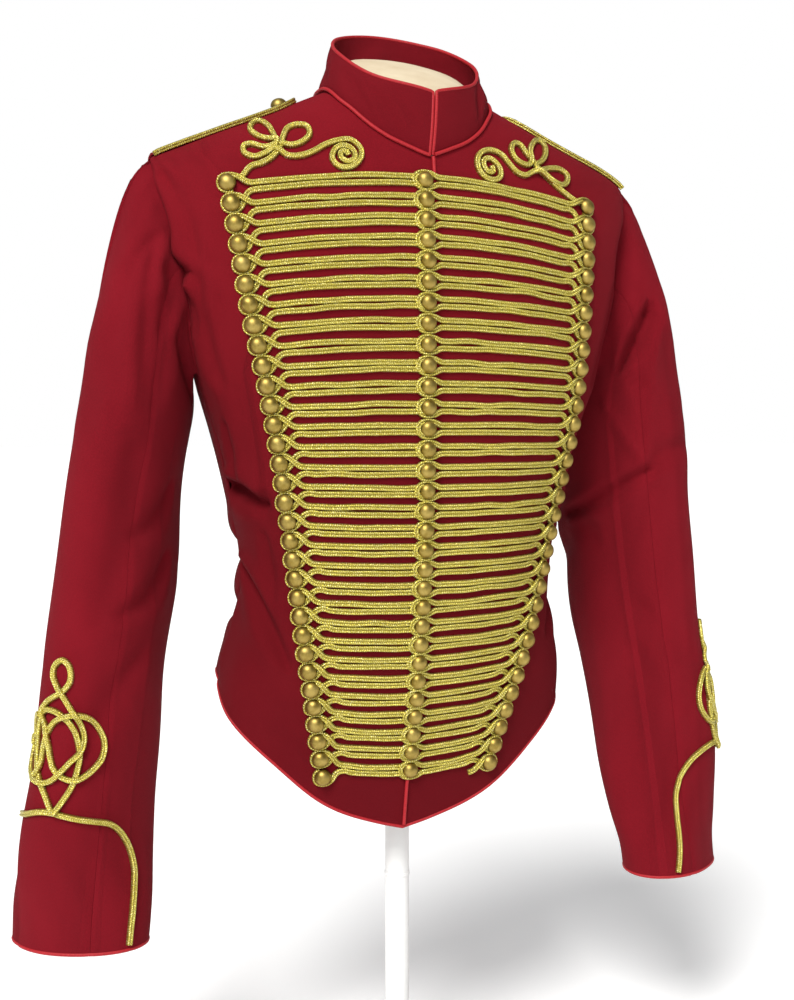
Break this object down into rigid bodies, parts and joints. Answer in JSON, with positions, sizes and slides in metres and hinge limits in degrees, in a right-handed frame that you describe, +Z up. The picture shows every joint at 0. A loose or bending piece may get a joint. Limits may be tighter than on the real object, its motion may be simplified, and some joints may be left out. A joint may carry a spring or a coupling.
{
  "type": "military dress tunic on a dress form",
  "caption": "Short fitted hussar dress tunic with stand collar, rows of gold braid and domed buttons, on a limbless dress form.",
  "frame": {"origin": "centre of the round base's underside", "axes": "+Z up, the tunic's front faces -Y, the wearer's left arm is on +X"},
  "size_m": [0.6876, 0.33, 0.9713],
  "materials": {
    "twill": "deep crimson cotton twill",
    "piping": "bright coral-red corded piping",
    "braid": "yellow-gold metallic flat braid",
    "brass": "satin antique brass",
    "form": "beige jersey over a padded torso",
    "stand": "white enamel"
  },
  "bodies": {
    "root": {"front_right": "twill", "front_left": "twill", "back_right": "twill", "back_left": "twill", "collar": "twill", "sleeve_right_upper": "twill", "sleeve_right_under": "twill", "sleeve_left_upper": "twill", "sleeve_left_under": "twill", "strap_right": "twill", "strap_left": "twill", "strap_cord_right": "braid", "strap_cord_left": "braid", "strap_button_right": "brass", "strap_button_left": "brass", "frogging_right": "braid", "frogging_left": "braid", "chest_knot_right": "braid", "chest_knot_left": "braid", "cuff_knot_right": "braid", "cuff_knot_left": "braid", "collar_piping": "piping", "neck_piping": "piping", "front_piping": "piping", "hem_piping": "piping", "cuff_piping_right": "piping", "cuff_piping_left": "piping", "form_body": "form", "stand_pole": "stand", "stand_base": "stand"}
  },
  "joints": []
}
